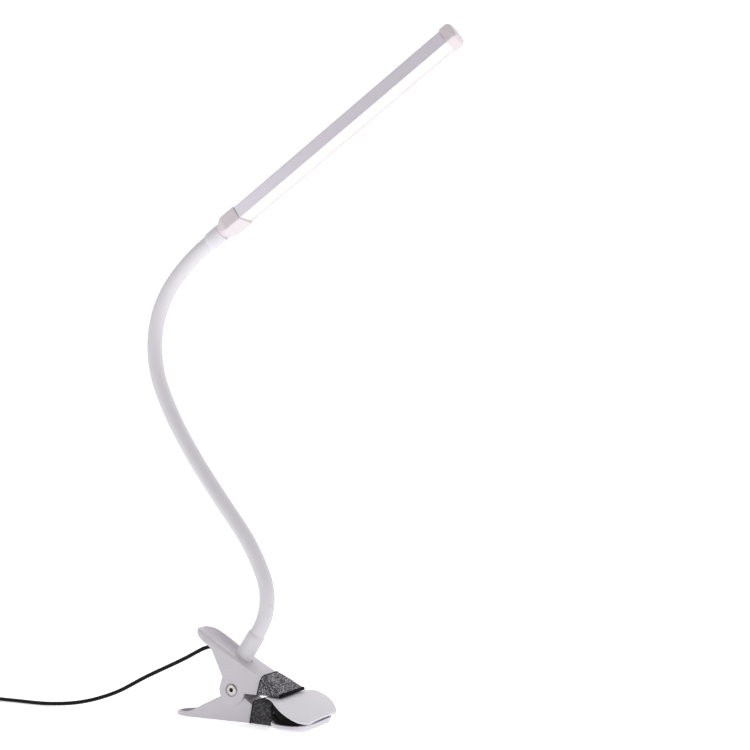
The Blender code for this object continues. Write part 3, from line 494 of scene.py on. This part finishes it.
def torsion_spring():
    """Wire wound round the rivet, with one leg on each arm. Its turns wind up as the clamp opens."""
    per_turn = 24
    points = [clamp(-16.0, 22.0, SPRING_HALF), clamp(-10.5, 12.6, SPRING_HALF)]
    count = int(SPRING_TURNS * per_turn)
    for k in range(count + 1):
        a = SPRING_START + 2 * math.pi * k / per_turn
        across = SPRING_HALF - 2 * SPRING_HALF * k / count
        points.append(clamp(SPRING_RADIUS * math.cos(a), SPRING_RADIUS * math.sin(a), across))
    points += [clamp(-13.5, -10.7, -SPRING_HALF), clamp(-24.0, -18.6, -SPRING_HALF)]
    spring = piece("spring_wire", tube(points, WIRE_RADIUS, 10), STEEL)
    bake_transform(spring)
    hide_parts("torsion_spring")


torsion_spring()


# ---- clamp: fabric sleeves and foam pads ---------------------------------------------------
SWELL_FRAMES = 12
SWELL_PRESSURE = 4.0
END_HOLD = 2.0 * MM  # the cloth is held at the ends and freed over this length


def apply_modifiers(obj):
    bpy.context.view_layer.update()
    graph = bpy.context.evaluated_depsgraph_get()
    result = bpy.data.meshes.new_from_object(obj.evaluated_get(graph))
    obj.modifiers.clear()
    obj.data = result


def voxel_copy(name, node, voxel):
    """A node's shape as a new object with an even, slightly relaxed mesh."""
    obj = add_object(name, NODES[node].data.copy())
    remesh = obj.modifiers.new("voxels", "REMESH")
    remesh.mode = "VOXEL"
    remesh.voxel_size = voxel
    relax = obj.modifiers.new("relax", "SMOOTH")
    relax.factor = 0.5
    relax.iterations = 4
    apply_modifiers(obj)
    return obj


def hold(obj, axis):
    """Holds what faces the axis point, such as a sleeve's bore, and the two ends."""
    mesh = obj.data
    low_x = min(v.co.x for v in mesh.vertices)
    high_x = max(v.co.x for v in mesh.vertices)
    held = obj.vertex_groups.new(name="held")
    for vertex, normal in zip(mesh.vertices, mesh.vertex_normals):
        out = vertex.co - axis
        out.x = 0.0
        inside = normal.vector.dot(out.normalized()) < 0.1
        end = min(vertex.co.x - low_x, high_x - vertex.co.x)
        share = 1.0 if inside else max(0.0, 1.0 - end / END_HOLD)
        held.add([vertex.index], share, "REPLACE")


def swell_cloth(obj):
    cloth = obj.modifiers.new("cloth", "CLOTH")
    cloth.settings.use_pressure = True
    cloth.settings.uniform_pressure_force = SWELL_PRESSURE
    cloth.settings.effector_weights.gravity = 0.0
    cloth.settings.vertex_group_mass = "held"
    cloth.settings.quality = 4
    for step in range(1, SWELL_FRAMES + 1):
        bpy.context.scene.frame_set(step)
    apply_modifiers(obj)
    bpy.context.scene.frame_set(1)


def soft_copy(name, node, mat, owner, axis, voxel, swell):
    """A soft piece in its CAD solid's place: remeshed, then swollen by the cloth solver by up to swell."""
    obj = voxel_copy(name, node, voxel)
    rest = [v.co.copy() for v in obj.data.vertices]
    hold(obj, axis)
    swell_cloth(obj)
    for vertex, start in zip(obj.data.vertices, rest):
        moved = vertex.co - start
        if moved.length > swell:
            vertex.co = start + moved.normalized() * swell
    finer = obj.modifiers.new("finer", "SUBSURF")
    finer.levels = 1
    finer.render_levels = 1
    apply_modifiers(obj)
    obj.vertex_groups.clear()
    obj.data.materials.clear()
    obj.data.materials.append(mat)
    obj.data.shade_smooth()
    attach(obj, owner)
    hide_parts(node)


# the lower sleeve wears the darkened tweed copy, which is painted shade
SLEEVES = (
    ("upper", TWEED, "clamp_body", clamp(30.0, 2.5)),
    ("lower", TWEED_PAINTED_SHADE, "lower_jaw", clamp(22.0, -14.0)),
)
for side, mat, owner, axis in SLEEVES:
    soft_copy(
        f"tweed_sleeve_{side}", f"{side}_sleeve", mat, owner, axis,
        voxel=0.7 * MM, swell=0.6 * MM,
    )
for side, owner in (("upper", "clamp_body"), ("lower", "lower_jaw")):
    low, high = corners(f"{side}_jaw_pad")
    soft_copy(
        f"foam_pad_{side}", f"{side}_jaw_pad", FOAM, owner, (low + high) / 2,
        voxel=0.8 * MM, swell=0.25 * MM,
    )


def round_band(half, low, high, corner, steps=6):
    """Outline of a sleeve's end, from its bottom corner round over the top: (y, z) in mm."""
    line = [(-half, low), (half, low)]
    for middle, start in ((half - corner, 0), (corner - half, 90)):
        for k in range(steps + 1):
            a = math.radians(start + 90 * k / steps)
            line.append((middle + corner * math.cos(a), high - corner + corner * math.sin(a)))
    return line


# tape folded over the front of the upper sleeve: x, half width, low, high, in mm
FRONT_TAPE = (
    (40.2, 15.9, -0.9, 0.8), (40.4, 16.3, -1.1, 1.05), (41.3, 16.4, -1.15, 1.0), (41.7, 16.2, -0.95, 0.8),
)
FRONT_CORNER = 0.7
TAPE_WIDTH = 0.5
TAPE_PROUD = 0.2
TAPE_CREASE = 60.0  # degrees


def front_tape():
    rings = []
    for x, half, low, high in FRONT_TAPE:
        rings.append([clamp(x, z, y) for y, z in round_band(half, low, high, FRONT_CORNER)])
    piece("edge_tape_front", loft(rings), BINDING, "clamp_body", TAPE_CREASE)


def edge_tape(name, owner, x_low, x_high, half, low, high, corner):
    """Folded black tape sewn round a sleeve's rear edge, which leans from x_low below to x_high on top."""
    inner = round_band(half - 0.5, low + 0.5, high - 0.5, corner - 0.5)
    outer = round_band(half + TAPE_PROUD, low - 0.1, high + TAPE_PROUD, corner + TAPE_PROUD)
    rings = []
    for (yi, zi), (yo, zo) in zip(inner, outer):
        x = x_low + (x_high - x_low) * (zo - low) / (high - low)
        rings.append([
            clamp(x, zi, yi), clamp(x + TAPE_WIDTH, zi, yi),
            clamp(x + TAPE_WIDTH, zo - 0.15, yo * 0.99), clamp(x + TAPE_WIDTH * 0.75, zo, yo),
            clamp(x + TAPE_WIDTH * 0.25, zo, yo), clamp(x, zo - 0.15, yo * 0.99),
        ])
    piece(name, loft(rings, closed_loop=True), BINDING, owner, TAPE_CREASE)


front_tape()
edge_tape("edge_tape_rear", "clamp_body", 20.5, 23.9, half=12.6, low=-1.7, high=11.4, corner=4.6)
edge_tape("edge_tape_lower", "lower_jaw", 13.6, 16.2, half=10.2, low=-21.5, high=-6.6, corner=2.6)


# ---- print on the buttons ------------------------------------------------------------------
PRINT_HALF = 0.16  # half width of a printed line, in mm
PRINT_REACH = 1.15  # half length of a straight line, in mm
POWER_RING = 1.05
PRINT_PROUD = 0.04 * MM
PRINT_DEEP = 0.22 * MM


def glyph_lines(kind):
    """Centre lines of a button's print in mm, with up towards the plug end of the controller."""
    if kind == "power":
        turn = [math.radians(45 + 270 * k / 14) for k in range(15)]
        ring = [(-POWER_RING * math.cos(a), POWER_RING * math.sin(a)) for a in turn]
        return [ring, [(-1.45, 0.0), (-0.15, 0.0)]]
    if kind == "plus":
        return [[(-PRINT_REACH, 0.0), (PRINT_REACH, 0.0)], [(0.0, -PRINT_REACH), (0.0, PRINT_REACH)]]
    if kind == "minus":
        return [[(0.0, -PRINT_REACH), (0.0, PRINT_REACH)]]
    return [[(x, -1.05), (x, 1.05)] for x in (-0.8, 0.0, 0.8)]


def glyph(number, kind):
    """A sign printed on a button, its lines let into the top and each lifted a little over the last."""
    low, high = corners(f"button_{number}")
    centre = (low + high) / 2
    top, bottom = high.z + PRINT_PROUD, high.z - PRINT_DEEP
    bm = bmesh.new()
    for order, line in enumerate(glyph_lines(kind)):
        lift = order * 0.005 * MM
        points = [Vector((x, y, 0.0)) for x, y in line]
        loop = []
        for k, point in enumerate(points):
            along = (points[min(k + 1, len(points) - 1)] - points[max(k - 1, 0)]).normalized()
            across = Vector((-along.y, along.x, 0.0)) * PRINT_HALF
            extend = along * PRINT_HALF * ((k == len(points) - 1) - (k == 0))
            loop.append((point + across + extend, point - across + extend))
        outline = [a for a, b in loop] + [b for a, b in reversed(loop)]
        rows = []
        for z in (bottom, top + lift):
            rows.append([bm.verts.new((centre.x + p.x * MM, centre.y + p.y * MM, z)) for p in outline])
        half = len(loop)
        for row in rows:
            for k in range(half - 1):
                bm.faces.new((row[k], row[k + 1], row[-2 - k], row[-1 - k]))
        for k in range(len(outline)):
            j = (k + 1) % len(outline)
            bm.faces.new((rows[0][k], rows[0][j], rows[1][j], rows[1][k]))
    piece(f"print_{kind}", bm, GLYPH, f"push_{number}")


for number, kind in ((4, "power"), (3, "plus"), (2, "minus"), (1, "mode")):
    glyph(number, kind)


# ---- the lead: lamp to controller, controller to the coil and plug -------------------------
LEAD_ROUTE = (
    (-15.9, 0.0, 22.9), (-22.5, 0.0, 26.2), (-29.0, -1.0, 25.0), (-46.0, -2.0, 16.2), (-75.0, -5.0, 2.4),
    (-98.0, -10.0, -9.8), (-122.0, -16.5, -17.3), (-149.0, -20.0, -20.4), (-180.0, -21.5, -20.55),
    (-202.0, -21.5, -20.3), (-217.7, -21.5, -17.25),
)
LEAD_STEP = 4 * MM
first = smooth_curve([clamp(x, z, y) for x, y, z in LEAD_ROUTE], LEAD_STEP)
lamp_lead = lead("lead_lamp_to_controller", first)
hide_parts("cord_lamp_to_controller")

coil_low, coil_high = corners("cord_coil")
coil_centre = (coil_low + coil_high) / 2
LEAD_IN = ((-303.1, -21.5, -17.25), (-308.5, -21.5, -17.4), (-321.0, -23.9, -19.6))
LEAD_OUT = ((-322.0, 15.5, -15.6), (-313.0, 13.2, -17.4), (-309.0, 11.9, -18.1), (-305.3, 11.5, -18.2))
# each lap's place in the bundle: radius in mm, then layer; the first laps lie on the floor and go inwards
LAPS = (
    (20.7, 0), (17.9, 0), (15.1, 0), (12.3, 0), (13.7, 1), (12.3, 2),
    (15.1, 2), (16.5, 1), (17.9, 2), (19.3, 1), (20.7, 2),
)
LAYER = 2.425  # height of a layer of turns that lies in the grooves of the one below
TURNS = 10.5
STEPS_PER_TURN = 20
SETTLE = 0.75  # how far in mm the turns sink away from the tie


def ease(t):
    """A smooth step from 0 to 1."""
    t = min(max(t, 0.0), 1.0)
    return t * t * (3 - 2 * t)


def coil_points():
    """Turns clockwise from above, each moving to its lap's place a little earlier than the last did."""
    bottom = (coil_low.z - PIVOT.z + CORD_RADIUS) / MM
    route = []
    for k in range(int(TURNS * STEPS_PER_TURN) + 1):
        s = k / STEPS_PER_TURN
        radius, layer = LAPS[0]
        for lap, (next_radius, next_layer) in enumerate(LAPS[1:]):
            share = ease((s - lap - 0.90 + 0.05 * lap) / 0.25)
            radius += (next_radius - radius) * share
            layer += (next_layer - layer) * share
        angle = math.radians(-90.0 - 360.0 * s)
        from_tie = abs(math.degrees(angle) % 360.0 - 180.0)
        drop = SETTLE * ease((from_tie - 15.0) / 45.0)
        x = coil_centre.x + radius * MM * math.cos(angle)
        y = coil_centre.y + radius * MM * math.sin(angle)
        route.append(Vector((x, y, PIVOT.z + (bottom + layer * LAYER - drop) * MM)))
    return route


coil = coil_points()
way_in = smooth_curve([clamp(x, z, y) for x, y, z in LEAD_IN] + coil[:2], LEAD_STEP)
way_out = smooth_curve(coil[-2:] + [clamp(x, z, y) for x, y, z in LEAD_OUT], LEAD_STEP)
second = way_in[:-2] + coil + way_out[2:]
plug_lead = lead("lead_controller_to_plug", second)
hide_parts("cord_controller_to_coil", "cord_coil", "cord_coil_to_plug")


STRAP_HALF = 0.5 * MM  # half the strap's thickness
STRAP_CORNER = 2.6 * MM


def tie_strap():
    """A hook-and-loop strap round the bundle."""
    low, high = corners("cord_tie")
    centre, half = (low + high) / 2, (high - low) / 2
    straight_x = half.x - STRAP_HALF - STRAP_CORNER
    straight_z = half.z - STRAP_HALF - STRAP_CORNER
    side = Vector((0.0, half.y, 0.0))
    steps = 6
    rings = []
    for sx, sz, start in ((1, 1, 0), (-1, 1, 90), (-1, -1, 180), (1, -1, 270)):
        for j in range(steps + 1):
            a = math.radians(start + 90 * j / steps)
            at = centre + Vector((sx * straight_x, 0.0, sz * straight_z)) + heading(a) * STRAP_CORNER
            inner, outer = at - heading(a) * STRAP_HALF, at + heading(a) * STRAP_HALF
            rings.append([inner - side, inner + side, outer + side, outer - side])
    strap = piece("tie_strap", loft(rings, closed_loop=True), BINDING, "clamp_body")
    edge = strap.modifiers.new("edges", "BEVEL")
    edge.width = 0.2 * MM
    edge.segments = 2
    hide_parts("cord_tie")
    return strap


tie = tie_strap()
tuple(first[0])
round(line_length(first), 3)
tuple(second[0])
round(line_length(second), 3)


# ---- studio -------------------------------------------------------------------------------
def area_light(name, at, target, size, power, colour=(1.0, 1.0, 1.0)):
    """A square soft light, in metres and watts, turned to its target."""
    data = bpy.data.lights.new(name, "AREA")
    data.shape = "SQUARE"
    data.size = size
    data.energy = power
    data.color = colour
    obj = add_object(name, data)
    obj.location = at
    obj.rotation_euler = (Vector(target) - Vector(at)).to_track_quat("-Z", "Y").to_euler()


bpy.context.scene.view_settings.view_transform = "Standard"
world = bpy.data.worlds.new("studio")
bpy.context.scene.world = world
world.use_nodes = True
world.node_tree.nodes["Background"].inputs["Color"].default_value = (1.0, 1.0, 1.0, 1.0)
world.node_tree.nodes["Background"].inputs["Strength"].default_value = 0.26

area_light("key", (0.30, 0.45, 1.55), (0.0, 0.0, 0.15), 0.9, 6.4, (1.0, 0.99, 0.985))
area_light("side", (1.5, -0.30, 0.55), (0.0, 0.0, 0.2), 0.9, 3.4, (1.0, 0.995, 1.0))
area_light("back", (-0.9, 0.5, 1.2), (0.0, 0.0, 0.2), 1.4, 3.6, (0.99, 0.99, 1.0))
area_light("low_fill", (-0.6, -0.5, 0.42), (-0.05, 0.0, 0.3), 0.4, 0.70)


FLOOR_NEAR = -4.0
FLOOR_FAR = 1.7
COVE_RADIUS = 0.9
WALL_TOP = 4.0
HALF_SPAN = 5.0


def backdrop():
    """A seamless white sweep: floor, cove and wall in one surface, bright enough to read as paper white."""
    low = cad_box[0][2] - 0.0002
    profile = [(FLOOR_NEAR, 0.0), (FLOOR_FAR, 0.0)]
    steps = 24
    for k in range(1, steps + 1):
        a = math.radians(90 * k / steps)
        profile.append((FLOOR_FAR + COVE_RADIUS * math.sin(a), COVE_RADIUS - COVE_RADIUS * math.cos(a)))
    profile.append((FLOOR_FAR + COVE_RADIUS, WALL_TOP))
    away = Vector((-math.sin(YAW), math.cos(YAW), 0.0))
    across = Vector((math.cos(YAW), math.sin(YAW), 0.0))
    bm = bmesh.new()
    rows = []
    for distance, rise in profile:
        at = away * distance + Vector((0.0, 0.0, low + rise))
        rows.append([bm.verts.new(at + across * side) for side in (-HALF_SPAN, HALF_SPAN)])
    for near, far in zip(rows, rows[1:]):
        bm.faces.new((near[0], near[1], far[1], far[0]))
    mesh = bpy.data.meshes.new("backdrop")
    bm.to_mesh(mesh)
    bm.free()
    mesh.shade_smooth()
    look = Nodes("paper")
    look.set(Base_Color=(0.90, 0.90, 0.90, 1.0), Roughness=0.95, Specular_IOR_Level=0.0)
    look.set(Emission_Color=(1.0, 1.0, 1.0, 1.0), Emission_Strength=0.60)
    mesh.materials.append(look.material)
    add_object("backdrop", mesh)


backdrop()
